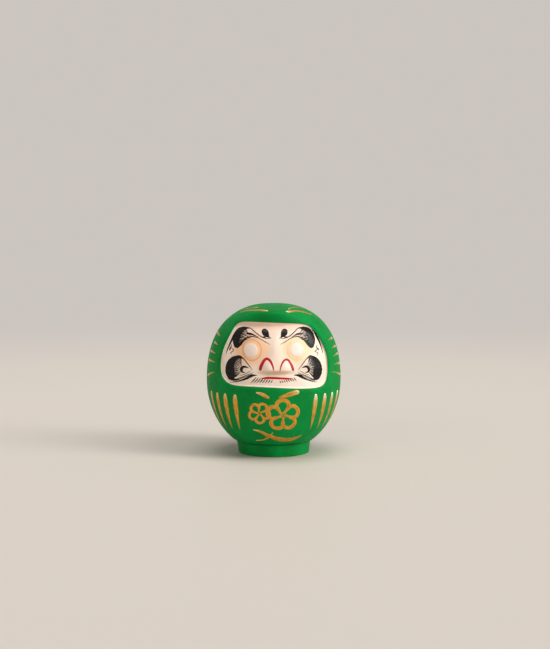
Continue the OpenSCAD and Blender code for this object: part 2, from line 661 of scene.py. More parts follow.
strip_skin = lay_strip()
print("strip", round(sum(f.calc_area() for f in strip_skin.faces)), "square millimetres")

# %% [markdown]
# ## The foot
# The foot is one lump of clay with a plug that stands up inside the shell and a hole for the
# painter's stick. Its outline, hole included, is one closed line, and a full spin of a closed
# line makes a closed body. The outside tapers down a little and its edges are rubbed round.

# %% Spinning the foot
foot_top_r = foot_high.x
foot_bottom_r = foot_top_r - 1.0
foot_top_z = foot_high.z - 0.1
foot_steps = 144
worn_back = 0.12
stick_r = 4.0
plug_r = 23.0
foot_outline = [
    (stick_r, 0.8),
    (stick_r + 0.3, 0.25),
    (stick_r + 0.9, 0.02),
    (9, 0.0),
    (15, 0.0),
    (20, 0.0),
    (24, 0.0),
    (foot_bottom_r - 0.9, 0.0),
    (foot_bottom_r - 0.5, 0.08),
    (foot_bottom_r - 0.2, 0.3),
    (foot_bottom_r - 0.03, 0.7),
    (foot_bottom_r + 0.15, 2.2),
    (foot_bottom_r + 0.35, 4.2),
    (foot_bottom_r + 0.6, 6.0),
    (foot_bottom_r + 0.8, 7.7),
    (foot_top_r - 0.08, 8.9),
    (foot_top_r - 0.05, 9.5),
    (foot_top_r - 0.2, 9.95),
    (foot_top_r - 0.6, 10.25),
    (foot_top_r - 1.3, 10.4),
    (plug_r + 1, 10.45),
    (plug_r, 10.8),
    (plug_r, 22.0),
    (plug_r - 2.5, foot_top_z),
    (12, foot_top_z),
    (stick_r, foot_top_z),
    (stick_r, 12.0),
]


def spin_foot():
    """The foot's closed body; only its outside is uneven, so the plug and the hole stay true."""
    bm = spin_profile([(r, 0, z) for r, z in foot_outline], foot_steps, closed=True)
    for vert in bm.verts:
        outer = smooth((Vector((vert.co.x, vert.co.y)).length - 24) / 3)
        dent = 0.13 * noise.noise(vert.co / 11) + 0.05 * noise.noise(vert.co / 3)
        outward = Vector((vert.co.x, vert.co.y, 0)).normalized()
        vert.co += outward * (dent - worn_back) * outer
    return bm


foot_body = spin_foot()
print("foot", len(foot_body.verts), "vertices, volume", round(foot_body.calc_volume() / 1000, 1), "ml")

# %% [markdown]
# ## Brush strokes as thin films
# A stroke is a line with a width at each of its points. The line is drawn flat, smoothed through
# its points, and given a round end wherever it does not run out to a tip. A grid follows the line,
# and each of its corners is laid on the skin and lifted a little, most in the middle, so the paint
# has a body and its edges sink into the ground. UV coordinates run along the stroke in
# centimetres and across it from 0 to 1, which lets a material draw the marks of the bristles. A
# brush that is put down full leaves more paint at the start: each vertex keeps that load as an
# attribute, which lifts the film there, and which the gold's material also uses to paint a pale
# highlight there. Each stroke also has a number of its own, which makes its ragged edge and its
# bristle marks differ from all the others.

# %% Round ends
cap_turns = (20, 40, 58, 74, 86)
pointed_half_w = 0.2


def round_end(line, first):
    """Adds a half-round end where the first or the last point is still wide."""
    end, near = (line[0], line[1]) if first else (line[-1], line[-2])
    width = end[1]
    if width < pointed_half_w:
        return line
    outward = (end[0] - near[0]).normalized()
    cap = []
    for turn in cap_turns:
        angle = math.radians(turn)
        cap.append((end[0] + outward * width * math.sin(angle), width * math.cos(angle)))
    return list(reversed(cap)) + line if first else line + cap


# %% Laying a stroke on a skin
strokes_laid = []
load_swell = 1.5
load_length = 6.5
end_length = 0.3
edge_sink = 0.02
uv_shift = 7.3


def brush(bm, points, lay, height=0.1, spacing=0.8, across=8, ragged=0.05, load_and_highlight=0.0):
    """Adds one stroke to a mesh; lay(across, up) gives its place and normal on the skin."""
    strokes_laid.append(points)
    number = len(strokes_laid)
    line = round_end(round_end(through(points, spacing), True), False)
    rows = len(line) - 1
    uv_layer = bm.loops.layers.uv.verify()
    load_layer = bm.verts.layers.float.get("load_and_highlight") or bm.verts.layers.float.new("load_and_highlight")
    grid = bmesh.ops.create_grid(bm, x_segments=rows, y_segments=across, size=1)["verts"]
    uv_of = {}
    lengths = [0.0]
    for here, there in zip(line, line[1:]):
        lengths.append(lengths[-1] + (there[0] - here[0]).length)
    for vert in grid:
        row = round((vert.co.x + 1) / 2 * rows)
        side = math.sin(vert.co.y * math.pi / 2)
        centre, width = line[row]
        tangent = (line[min(row + 1, rows)][0] - line[max(row - 1, 0)][0]).normalized()
        normal_2d = Vector((-tangent.y, tangent.x))
        edge = 1 + ragged * noise.noise(Vector((lengths[row] * 0.8, side * 2, number)))
        flat = centre + normal_2d * (side * width * edge)
        place, normal = lay(flat.x, flat.y)
        end_fade = smooth(min(lengths[row], lengths[-1] - lengths[row]) / end_length)
        # This value lifts the film here, and the gold's material paints a pale highlight from it.
        vert[load_layer] = load_and_highlight * math.exp(-lengths[row] / load_length)
        lift = height * (1 - side**4) * end_fade * (1 + load_swell * vert[load_layer]) - edge_sink
        uv_of[vert] = (lengths[row] / 10 + uv_shift * number, (side + 1) / 2)
        vert.co = place + normal * lift
    faces = {face for vert in grid for face in vert.link_faces}
    middle_normal = lay(line[rows // 2][0].x, line[rows // 2][0].y)[1]
    if sum(face.normal.dot(middle_normal) for face in faces_with_normals(faces)) < 0:
        bmesh.ops.reverse_faces(bm, faces=list(faces))
    for face in faces:
        for loop in face.loops:
            loop[uv_layer].uv = uv_of[loop.vert]


def faces_with_normals(faces):
    """The faces, after their normals are worked out again."""
    for face in faces:
        face.normal_update()
    return faces


def on_face(x, z):
    """Lays a stroke on the face."""
    return from_front(coat_tree, x, z)


def on_chest(x, z):
    """Lays a stroke on the front of the robe."""
    return from_front(robe_tree, x, z)


def on_side(arc, z):
    """Lays a stroke round the side of the robe."""
    return from_side(robe_tree, arc, z)


def on_crown(x, y):
    """Lays a stroke on the crown."""
    return from_above(robe_tree, x, y)


# %% [markdown]
# ## The ink on the face
# The brows are cranes and the beard is a pair of turtles, which is how such dolls wish a long life.
# Each brow is a black band that comes down outside the eye, with a comb of fine hairs on its inner
# side, a neck line that ends in a hook near the forehead, and a lid line over the eye. Most strokes
# are written down for the left side only, and the right side's are the same ones turned over and
# moved a little. The outer sweeps, the drops and the temple lines are written for each side, because
# a hand never makes them alike.

# %% Strokes of the brows
brow_band = [
    (-19.5, 102.2, 0.3),
    (-23.3, 101.9, 1.2),
    (-26.6, 100.4, 2.2),
    (-28.8, 97.8, 2.7),
    (-29.8, 94.5, 2.9),
    (-30.0, 91.4, 2.8),
    (-29.8, 89.2, 2.3),
]
neck_line = [
    (-24.2, 102.9, 0.3),
    (-18.9, 101.9, 0.35),
    (-16.0, 99.7, 0.4),
    (-11.9, 96.7, 0.42),
    (-9.2, 95.4, 0.35),
    (-6.2, 94.7, 0.25),
    (-3.6, 94.9, 0.12),
]
hook = [(-10.4, 95.9, 0.3), (-8.0, 95.9, 0.5), (-5.4, 96.4, 0.3), (-3.0, 94.6, 0.1)]
bird_body = [
    (-21.7, 98.0, 0.5),
    (-20.0, 98.1, 0.85),
    (-17.6, 97.6, 0.75),
    (-15.3, 96.7, 0.4),
    (-12.6, 95.6, 0.12),
]
lid_line = [
    (-29.2, 88.0, 1.2),
    (-27.2, 89.9, 1.25),
    (-25.3, 92.0, 1.0),
    (-23.3, 93.9, 0.8),
    (-20.7, 95.4, 0.55),
    (-17.8, 96.0, 0.42),
    (-14.3, 95.5, 0.34),
    (-10.8, 94.0, 0.28),
    (-7.3, 91.9, 0.25),
    (-4.1, 90.3, 0.12),
]
outer_sweep = [
    (-29.4, 100.2, 0.2),
    (-30.9, 98.3, 0.55),
    (-32.9, 94.0, 0.8),
    (-35.4, 88.6, 0.6),
    (-37.1, 84.6, 0.35),
    (-37.9, 81.4, 0.1),
]
right_outer_sweep = [
    (28.2, 101.2, 0.2),
    (30.4, 98.8, 0.6),
    (32.6, 94.9, 0.8),
    (34.7, 90.3, 0.6),
    (36.2, 86.0, 0.4),
    (37.2, 82.0, 0.1),
]
forehead_drops = [
    [(-8.1, 99.5, 2.6), (-7.4, 98.6, 2.68), (-6.6, 97.5, 2.1), (-5.6, 96.3, 1.1), (-4.5, 95.1, 0.1)],
    [(7.1, 99.5, 2.55), (6.5, 98.6, 2.62), (5.8, 97.5, 2.05), (4.9, 96.3, 1.05), (3.9, 95.1, 0.1)],
]
temple_lines = [
    [(-33.4, 89.8, 0.12), (-34.0, 87.9, 0.35), (-35.0, 85.6, 0.6), (-34.6, 84.9, 0.15)],
    [
        (-34.2, 87.4, 0.12),
        (-32.9, 86.4, 0.26),
        (-32.2, 85.1, 0.36),
        (-33.0, 84.1, 0.24),
        (-34.3, 83.1, 0.3),
        (-33.8, 81.9, 0.1),
    ],
    [(32.6, 89.2, 0.12), (32.1, 87.3, 0.35), (33.5, 85.5, 0.55), (33.2, 84.8, 0.15)],
    [
        (32.6, 86.2, 0.12),
        (32.0, 85.0, 0.32),
        (30.6, 84.4, 0.26),
        (31.7, 83.7, 0.24),
        (33.1, 82.5, 0.3),
        (31.9, 81.1, 0.1),
    ],
]


def other_side(points, near_shift, far_shift, starts_at, full_at):
    """The right side's stroke: the left one turned over, and moved more further out."""
    turned = []
    for x, z, width in points:
        share = smooth((abs(x) - starts_at) / (full_at - starts_at))
        turned.append((-x - near_shift - (far_shift - near_shift) * share, z, width))
    return turned


def other_brow(points):
    """The right brow's stroke."""
    return other_side(points, 0.6, 1.7, 12, 24)


# %% [markdown]
# The fine hairs of a brow or of the beard fan out from the band. Each one is a small stroke of its
# own that starts inside the black and runs out to a point. Neighbours differ in length and lean,
# so the comb stays a row of hairs and does not close to a grey edge.

# %% A comb of hairs
root_depth = 0.7
hair_swing = 0.18
hair_height = 0.09


def comb(bm, edge, target, count, reach_share, width):
    """Hairs that start on an edge line and run a share of the way to a target."""
    line = through([(x, z, 0.1) for x, z in edge], 0.15)
    for i in range(count):
        start = line[round((len(line) - 1) * (i + 0.5) / count)][0]
        way = Vector(target) - start
        aim = way.normalized()
        uneven = abs(noise.noise(Vector((i * 0.77, count, 2))))
        long = way.length * reach_share * (0.72 + 0.4 * (i % 2) + 0.5 * uneven)
        swing = hair_swing * noise.noise(Vector((i * 1.31, count, 5)))
        side = Vector((-aim.y, aim.x)) * swing
        root = start - aim * root_depth
        middle = start + (aim + side) * long * 0.45
        tip = start + (aim + side * 1.5) * long
        hair = [(*root, width), (*start, width), (*middle, width * 0.62), (*tip, width * 0.2)]
        brush(bm, hair, on_face, height=hair_height, spacing=1.4, across=2, ragged=0.0)


def turned_edge(edge, other):
    """A comb's edge on the right side, turned over in the way of the strokes beside it."""
    return [point[:2] for point in other([(x, z, 0) for x, z in edge])]


ink = bmesh.new()
for stroke in (brow_band, neck_line, hook, bird_body, lid_line):
    brush(ink, stroke, on_face)
    brush(ink, other_brow(stroke), on_face)
for stroke in (outer_sweep, right_outer_sweep):
    brush(ink, stroke, on_face)
for drop in forehead_drops:
    brush(ink, drop, on_face, spacing=0.25, ragged=0.02)
for line in temple_lines:
    brush(ink, line, on_face, spacing=0.35, across=4)

brow_comb_edge = [(-22.4, 101.6), (-25.2, 99.6), (-26.9, 97.2), (-27.5, 94.4), (-27.2, 91.8)]
comb(ink, brow_comb_edge, (-17.5, 94.5), 15, 0.7, 0.44)
comb(ink, turned_edge(brow_comb_edge, other_brow), (16.4, 94.5), 15, 0.7, 0.44)
print("brow strokes", len(strokes_laid))

# %% Strokes of the beard and the moustache
beard_band = [
    (-24.8, 79.4, 0.3),
    (-28.2, 80.3, 1.1),
    (-31.7, 78.7, 2.2),
    (-34.1, 75.4, 3.1),
    (-35.0, 71.5, 3.6),
    (-34.7, 68.0, 3.75),
    (-34.1, 65.6, 3.2),
]
beard_foot = [(-34.6, 63.2, 0.8), (-31.4, 63.0, 1.0), (-28.2, 63.6, 0.5), (-25.2, 64.6, 0.12)]
cheek_line = [
    (-29.5, 81.3, 0.3),
    (-27.0, 81.2, 0.45),
    (-24.3, 79.3, 0.4),
    (-21.9, 76.5, 0.35),
    (-19.4, 73.3, 0.28),
    (-17.4, 70.8, 0.1),
]
curl = [
    (-20.6, 72.6, 0.25),
    (-22.6, 73.3, 0.7),
    (-24.6, 73.3, 1.0),
    (-25.9, 71.9, 1.25),
    (-26.0, 70.3, 1.0),
    (-24.9, 69.2, 0.6),
    (-23.2, 68.9, 0.2),
]
moustache = [
    (-13.9, 67.2, 0.1),
    (-16.4, 67.2, 0.7),
    (-18.8, 66.6, 1.15),
    (-21.9, 64.8, 0.95),
    (-26.5, 62.8, 0.6),
    (-31.3, 61.4, 0.35),
    (-35.2, 60.8, 0.12),
]
upper_curve = [(-17.0, 69.3, 0.12), (-21.5, 67.3, 0.3), (-26.0, 65.2, 0.32), (-30.8, 63.5, 0.15)]
lower_curve = [(-17.6, 68.4, 0.1), (-22.5, 66.0, 0.22), (-27.3, 63.9, 0.25), (-31.6, 62.5, 0.12)]
inner_curve = [(-18.4, 70.6, 0.1), (-20.4, 69.6, 0.22), (-23.4, 67.8, 0.2), (-27.4, 66.4, 0.1)]


def other_beard(points):
    """The right beard's stroke."""
    return other_side(points, 0.4, 2.2, 25, 32)


for stroke in (beard_band, beard_foot, cheek_line, curl, moustache, upper_curve, lower_curve, inner_curve):
    brush(ink, stroke, on_face)
    brush(ink, other_beard(stroke), on_face)

beard_comb_edge = [
    (-26.4, 79.6),
    (-29.0, 78.0),
    (-30.9, 75.6),
    (-31.7, 72.8),
    (-31.8, 70.2),
    (-31.2, 67.6),
    (-30.2, 65.4),
]
comb(ink, beard_comb_edge, (-23.8, 71.4), 19, 0.68, 0.48)
comb(ink, turned_edge(beard_comb_edge, other_beard), (23.2, 71.4), 19, 0.68, 0.48)


def whisker(root, tip, bow, widths):
    """A short hair under the nose, bowed a little sideways."""
    middle = ((root[0] + tip[0]) / 2 + bow, (root[1] + tip[1]) / 2)
    hair = [(*place, width) for place, width in zip((root, middle, tip), widths)]
    brush(ink, hair, on_face, spacing=0.6, across=4)


whisker_pairs = 8
for number in range(whisker_pairs):
    root = (-2.7 - 1.75 * number, 63.8 + 0.26 * number)
    tip = (root[0] - 1.3 - 0.4 * number, 61.6 - 0.05 * number)
    whisker(root, tip, 0.2, (0.22, 0.44, 0.14))
    root = (3.0 + 1.55 * number, 63.3 + 0.3 * number)
    tip = (root[0] + 1.1 + 0.14 * number, 61.6 + 0.15 * number)
    whisker(root, tip, -0.1, (0.2, 0.4, 0.14))
print("ink strokes", len(strokes_laid))

# %% [markdown]
# ## Red lines and the blank eyes
# The nostrils are two red arches and the mouth is one red line. The eyes are left blank: a white
# disc in a thin gold ring, for the owner to fill in when a wish is made and when it comes true.

# %% Strokes of the nose and the mouth
red = bmesh.new()
nostril = [
    (2.2, 71.4, 0.4),
    (3.1, 75.0, 0.62),
    (4.8, 78.2, 0.82),
    (6.9, 79.6, 0.88),
    (8.8, 78.9, 0.9),
    (10.4, 76.6, 0.98),
    (11.7, 73.8, 1.08),
    (12.3, 71.6, 0.95),
]
red_height = 0.14
left_nostril = [(nose_x - x - 0.2, z + 0.2, w * 1.2) for x, z, w in nostril]
right_nostril = [(nose_x + x + 0.2, z - 0.3, w * 0.95) for x, z, w in nostril]
mouth = [
    (-10.4, 64.9, 0.5),
    (-6.3, 65.4, 0.92),
    (-1.7, 65.4, 0.95),
    (4.1, 65.1, 0.85),
    (9.2, 64.8, 0.72),
    (12.0, 64.6, 0.45),
]
for stroke in (left_nostril, right_nostril, mouth):
    brush(red, stroke, on_face, height=red_height)
print("red strokes done, strokes so far", len(strokes_laid))

# %% Discs and rings of the eyes
left_eye = (-18.8, 86.0)
right_eye = (16.2, 86.4)
eye_r = 5.3
left_ring = (-18.0, 86.2)
right_ring = (16.3, 86.5)
ring_half_w = 7.05
ring_half_h = 7.8
ring_stroke = 0.75
ring_height = 0.07
ring_points = 26
disc_sides = 64
disc_film = 0.12
disc_steps = [(0.2, 0.12), (0.4, 0.12), (0.6, 0.12), (0.8, 0.11), (0.94, 0.08), (1.0, -0.03)]


def eye_disc(bm, centre):
    """A thin round film on the face, with an edge that sinks into it."""
    middle, rim = disc_rim(bm, disc_sides)
    place, normal = on_face(*centre)
    middle.co = place + normal * disc_film
    for step, (share, lift) in enumerate(disc_steps):
        places = []
        for i in range(disc_sides):
            angle = 2 * math.pi * i / disc_sides
            cos = math.cos(angle)
            sin = math.sin(angle)
            radius = eye_r * share * (1 + 0.02 * noise.noise(Vector((cos, sin, centre[0]))))
            spot, away = on_face(centre[0] + radius * cos, centre[1] + radius * sin)
            places.append(spot + away * lift)
        if step == 0:
            for vert, spot in zip(rim, places):
                vert.co = spot
        else:
            rim = next_ring(bm, rim, places)


def ring_line(centre, width):
    """The points of a hand-drawn oval that starts and ends at its top."""
    points = []
    for i in range(ring_points):
        angle = math.radians(95 - 365 * i / (ring_points - 1))
        wobble = 1 + 0.012 * math.sin(3 * angle + centre[0])
        x = centre[0] + ring_half_w * wobble * math.cos(angle)
        z = centre[1] + ring_half_h * wobble * math.sin(angle)
        points.append((x, z, width * (0.75 + 0.35 * math.sin(angle * 0.5) ** 2)))
    return points


whites = bmesh.new()
eye_disc(whites, left_eye)
eye_disc(whites, right_eye)
bmesh.ops.recalc_face_normals(whites, faces=whites.faces)
if sum(f.normal.y for f in whites.faces) > 0:
    bmesh.ops.reverse_faces(whites, faces=whites.faces)
eye_gold = bmesh.new()
for centre in (left_ring, right_ring):
    brush(eye_gold, ring_line(centre, ring_stroke), on_face, height=ring_height)
print("eye discs", len(whites.faces), "faces")

# %% [markdown]
# ## Gold on the robe
# Four long stripes down each side of the belly, five short dashes on each side of the window and
# two pairs of sweeps on the crown stand for the folds of the robe. The strokes start round and
# full, where the loaded brush is put down, and run dry to a point.

# %% Folds in gold
gold = bmesh.new()
degree = body_r * math.pi / 180
stripe_height = 0.16
dash_height = 0.14
stripe_angles = (36.0, 47.0, 58.0, 69.5)
stripe = [
    (-0.4, 50.6, 1.3),
    (0.0, 48.6, 1.9),
    (0.2, 43.8, 2.2),
    (0.7, 37.0, 1.9),
    (1.7, 29.8, 1.2),
    (3.2, 22.8, 0.12),
]
# The right-hand stripes, on the side of the window light, get a fuller brush, so their painted highlight is
# brighter.
for number, angle in enumerate(stripe_angles):
    for hand in (-1, 1):
        shift = 0.9 * noise.noise(Vector((number * 1.7, hand, 4)))
        fat = 1.0 + 0.12 * noise.noise(Vector((number, hand * 2.3, 9)))
        line = [(hand * (angle + a + 0.3 * shift) * degree, z + shift, w * fat) for a, z, w in stripe]
        brush(gold, line, on_side, height=stripe_height, load_and_highlight=1.0 + 0.3 * hand)

left_dashes = [
    ((83.0, 96.7), (66.7, 94.7)),
    ((74.5, 89.4), (64.5, 88.0)),
    ((78.8, 82.4), (64.5, 81.4)),
    ((78.7, 75.1), (62.5, 74.7)),
    ((79.4, 63.2), (62.0, 67.2)),
]
right_dashes = [
    ((74.0, 92.7), (62.0, 91.6)),
    ((75.0, 86.3), (62.5, 85.3)),
    ((75.5, 80.3), (62.5, 79.3)),
    ((77.5, 72.6), (62.5, 73.0)),
    ((77.0, 63.8), (56.5, 67.6)),
]
dash_widths = (0.95, 0.6, 0.1)
# The right-hand dashes get a fuller brush, for a brighter painted highlight on the side of the window light.
for hand, dashes in ((-1, left_dashes), (1, right_dashes)):
    for outer, inner in dashes:
        middle = ((outer[0] + inner[0]) / 2, (outer[1] + inner[1]) / 2 + 0.2)
        line = [(hand * a * degree, z, w) for (a, z), w in zip((outer, middle, inner), dash_widths)]
        brush(gold, line, on_side, height=dash_height, load_and_highlight=1.0 + 0.2 * hand)

crown_sweeps = [
    [
        (-6.4, -34.4, 0.9),
        (-8.6, -32.8, 1.4),
        (-12.5, -29.0, 1.4),
        (-17.0, -24.8, 1.1),
        (-22.3, -19.2, 0.8),
        (-27.4, -14.5, 0.15),
    ],
    [
        (9.2, -35.0, 0.9),
        (12.3, -32.4, 1.4),
        (17.3, -27.4, 1.3),
        (22.4, -22.7, 1.0),
        (27.2, -18.0, 0.7),
        (30.4, -14.0, 0.15),
    ],
    [(-13.1, -19.4, 0.3), (-18.4, -15.6, 0.6), (-22.7, -9.6, 0.5), (-25.6, -2.5, 0.12)],
    [(10.6, -28.6, 0.3), (13.0, -22.6, 0.6), (17.2, -15.0, 0.6), (23.5, -8.5, 0.12)],
]
# A pale highlight is painted where each sweep starts.
for sweep in crown_sweeps:
    brush(gold, sweep, on_crown, height=dash_height, load_and_highlight=0.9)
print("gold strokes done, strokes so far", len(strokes_laid))

# %% [markdown]
# The chest carries a sprig of plum in the same gold: two buds above, an open blossom and a smaller
# one, and the branch that sweeps under them. It is painted with the full brush, so the lines are
# fat and cross each other freely.

# %% A sprig of plum on the chest
sprig_height = 0.16
petals = 5
petal_loop = [
    (0.16, -0.05, 0.5),
    (0.48, -0.62, 1.0),
    (0.88, -0.5, 1.25),
    (1.0, 0.05, 1.15),
    (0.82, 0.56, 1.25),
    (0.45, 0.58, 0.9),
    (0.14, 0.1, 0.35),
]


def petal(centre, turn, reach_out, half):
    """The outline of one round petal as a loop from the flower's middle."""
    points = []
    for along, side, width in petal_loop:
        out = along * reach_out
        across = side * half
        x = centre[0] + out * math.cos(turn) - across * math.sin(turn)
        z = centre[1] + out * math.sin(turn) + across * math.cos(turn)
        points.append((x, z, width))
    return points


def blossom(bm, centre, size, first_turn, fat):
    """Five petals and as many stamens."""
    for i in range(petals):
        turn = math.radians(first_turn + 72 * i)
        loop = [(x, z, w * fat) for x, z, w in petal(centre, turn, size, size * 0.62)]
        brush(bm, loop, on_chest, height=sprig_height)
    for i in range(petals):
        turn = math.radians(first_turn + 36 + 72 * i)
        tip = size * 0.42
        line = [
            (centre[0] + 0.6 * math.cos(turn), centre[1] + 0.6 * math.sin(turn), 0.25 * fat),
            (centre[0] + tip * math.cos(turn), centre[1] + tip * math.sin(turn), 0.55 * fat),
        ]
        brush(bm, line, on_chest, height=sprig_height, across=2)


sprig = bmesh.new()
blossom(sprig, (5.5, 36.5), 12.0, 92, 1.25)
blossom(sprig, (-12.5, 38.0), 8.0, 60, 0.9)
sprig_lines = [
    [(16.2, 54.3, 1.7), (11.5, 53.3, 1.85), (7.0, 51.8, 1.5), (3.2, 50.6, 0.9)],
    [(-14.6, 54.2, 0.5), (-11.5, 53.4, 1.2), (-8.4, 52.0, 1.4), (-5.8, 50.6, 1.0)],
    [
        (-16.8, 24.0, 0.3),
        (-11.5, 22.6, 1.1),
        (-4.5, 18.8, 1.5),
        (4.0, 15.8, 1.9),
        (13.0, 15.4, 1.6),
        (20.5, 18.6, 0.2),
    ],
    [(-15.0, 14.6, 0.15), (-9.5, 15.2, 0.6), (-5.0, 18.0, 0.9), (-2.0, 22.0, 0.3)],
]
# A pale highlight is painted where each line starts.
for line in sprig_lines:
    brush(sprig, line, on_chest, height=sprig_height, load_and_highlight=0.8)
print("strokes in all", len(strokes_laid))

# %% [markdown]
# ## Materials
# Every finish is a Principled shader with its own nodes. Patterns read Object coordinates, which
# are metres in the doll's frame, or a stroke's UV. A few helpers keep the trees short: one adds a
# node with its inputs, and the others make the patterns that all of the finishes share.


# %% Helpers for node trees
def add(tree, kind, inputs, **settings):
    """Adds a node; each input is given a value or is linked to another node's output."""
    made = tree.nodes.new(kind)
    for name, value in settings.items():
        setattr(made, name, value)
    for name, value in inputs.items():
        if isinstance(value, bpy.types.NodeSocket):
            tree.links.new(value, made.inputs[name])
        else:
            made.inputs[name].default_value = value
    return made


def new_finish(name, color, roughness, **values):
    """A material and its Principled shader."""
    material = bpy.data.materials.new(name)
    material.use_nodes = True
    tree = material.node_tree
    shader = tree.nodes["Principled BSDF"]
    shader.inputs["Base Color"].default_value = (*color, 1)
    shader.inputs["Roughness"].default_value = roughness
    for socket, value in values.items():
        shader.inputs[socket.replace("_", " ")].default_value = value
    return material, tree, shader


def link(tree, node, **sources):
    """Links other nodes' outputs to a node's named inputs."""
    for name, source in sources.items():
        tree.links.new(source, node.inputs[name.replace("_", " ")])


def scaled(tree, vector, by):
    """A vector times three numbers."""
    return add(tree, "ShaderNodeVectorMath", {0: vector, 1: by}, operation="MULTIPLY").outputs[0]


def length_of(tree, vector):
    """A vector's length."""
    return add(tree, "ShaderNodeVectorMath", {0: vector}, operation="LENGTH").outputs["Value"]


def place_in_mm(tree):
    """Object coordinates in millimetres."""
    spot = add(tree, "ShaderNodeTexCoord", {}).outputs["Object"]
    return scaled(tree, spot, (1 / MM, 1 / MM, 1 / MM))


def speckle(tree, vector, size, detail=3.0, rough=0.5):
    """A noise whose spots are about size across, from 0 to 1."""
    made = add(
        tree,
        "ShaderNodeTexNoise",
        {"Vector": vector, "Scale": 1 / size, "Detail": detail, "Roughness": rough},
    )
    return made.outputs["Fac"]


def between(tree, value, low, high, to_low=0.0, to_high=1.0):
    """Spreads a value softly between two ends."""
    inputs = {"Value": value, "From Min": low, "From Max": high, "To Min": to_low, "To Max": to_high}
    return add(tree, "ShaderNodeMapRange", inputs, interpolation_type="SMOOTHSTEP").outputs["Result"]


def mix(tree, share, first, second):
    """Mixes two colours."""
    inputs = {0: share, 6: first, 7: second}
    return add(tree, "ShaderNodeMix", inputs, data_type="RGBA").outputs[2]


def tones(tree, pattern, low, high, first, second):
    """Colours that go from the first to the second as a pattern rises."""
    return mix(tree, between(tree, pattern, low, high), first, second)


def combine(tree, how, first, second):
    """Joins two values by the named operation."""
    return add(tree, "ShaderNodeMath", {0: first, 1: second}, operation=how).outputs[0]


def bump(tree, height, distance, strength=1.0, below=None):
    """Turns a height from 0 to 1 into bumps of that many millimetres."""
    inputs = {"Height": height, "Distance": distance * MM, "Strength": strength}
    if below:
        inputs["Normal"] = below
    return add(tree, "ShaderNodeBump", inputs).outputs["Normal"]


def near_spot(tree, vector, spot, size, soft):
    """1 near a spot and 0 away from it; size gives the spot's three radii."""
    moved = add(tree, "ShaderNodeVectorMath", {0: vector, 1: spot}, operation="SUBTRACT").outputs[0]
    squeezed = add(tree, "ShaderNodeVectorMath", {0: moved, 1: size}, operation="DIVIDE").outputs[0]
    return between(tree, length_of(tree, squeezed), 1 + soft, 1 - soft)


print("helpers for materials are ready")

# %% [markdown]
# The robe's green is a matt water paint over pasted paper. It was brushed on in wide strokes that
# dried a little unevenly, so its colour and gloss drift, and under it the paper's fibres and the
# ground coat's small pits can just be felt.


# %% The green of the robe
def green_coat(name):
    """The robe's paint: the material, its shader, its colour and its place in millimetres."""
    material, tree, shader = new_finish(name, (0.0, 0.28, 0.05), 0.6, Specular_IOR_Level=0.09)
    spot = place_in_mm(tree)
    drift = speckle(tree, scaled(tree, spot, (1, 1, 0.35)), 16, 2)
    streaks = speckle(tree, scaled(tree, spot, (0.25, 0.25, 1.6)), 1.4, 3)
    pits = speckle(tree, spot, 0.55, 4, 0.6)
    lumps = speckle(tree, spot, 3.2, 3)
    color = tones(tree, drift, 0.3, 0.7, (0.0, 0.21, 0.033, 1), (0.0, 0.272, 0.052, 1))
    color = mix(tree, between(tree, streaks, 0.45, 0.75, 0, 0.35), color, (0.0, 0.33, 0.07, 1))
    color = mix(tree, between(tree, pits, 0.62, 0.72, 0, 0.3), color, (0.0, 0.17, 0.026, 1))
    bumps = bump(tree, lumps, 0.12, 0.6)
    bumps = bump(tree, streaks, 0.03, 0.6, bumps)
    bumps = bump(tree, pits, 0.035, 0.7, bumps)
    matt = between(tree, lumps, 0.3, 0.7, 0.48, 0.62)
    link(tree, shader, Base_Color=color, Roughness=matt, Normal=bumps)
    return material, shader, color, spot


robe_green = green_coat("robe_green")[0]
print("robe colour is ready")

# %% [markdown]
# The foot has the same paint on its side. Underneath, the clay is bare: buff, gritty and dusty, with
# a ragged edge of paint where the brush ran over. Height decides which of the two shows, and a
# noise makes the border ragged. Inside the stick's hole, near the axis, it is clay at any height.
# A dark band of painted shade runs round the groove under the shell's overhang.

# %% The foot's paint and clay
edge_low = 0.05
edge_high = 0.45
groove_shade_low = 9.4
groove_shade_high = 10.4
foot_clay, foot_shader, foot_green, foot_spot = green_coat("foot_clay")
foot_tree = foot_clay.node_tree
height_of = add(foot_tree, "ShaderNodeSeparateXYZ", {0: foot_spot}).outputs["Z"]
ragged = speckle(foot_tree, foot_spot, 2.6, 4, 0.6)
edge_height = between(foot_tree, ragged, 0.3, 0.7, edge_low, edge_high)
over_edge = combine(foot_tree, "SUBTRACT", height_of, edge_height)
from_axis = length_of(foot_tree, scaled(foot_tree, foot_spot, (1, 1, 0)))
outside_hole = between(foot_tree, from_axis, 2 * stick_r, 3 * stick_r)
painted = combine(foot_tree, "MULTIPLY", between(foot_tree, over_edge, -0.06, 0.06), outside_hole)
grit = speckle(foot_tree, foot_spot, 0.5, 4, 0.7)
clay = tones(foot_tree, grit, 0.35, 0.7, (0.43, 0.33, 0.23, 1), (0.62, 0.52, 0.39, 1))
foot_color = mix(foot_tree, painted, clay, foot_green)
# Painted shade: the green turns dark in the groove where the shell overhangs the foot.
groove_shade = between(foot_tree, height_of, groove_shade_low, groove_shade_high, 0.0, 0.75)
foot_color = mix(foot_tree, groove_shade, foot_color, (0.0, 0.07, 0.012, 1))
foot_matt = between(foot_tree, painted, 0, 1, 0.9, 0.55)
link(foot_tree, foot_shader, Base_Color=foot_color, Roughness=foot_matt)
print("foot paint ends at most", edge_high, "mm above the ground")
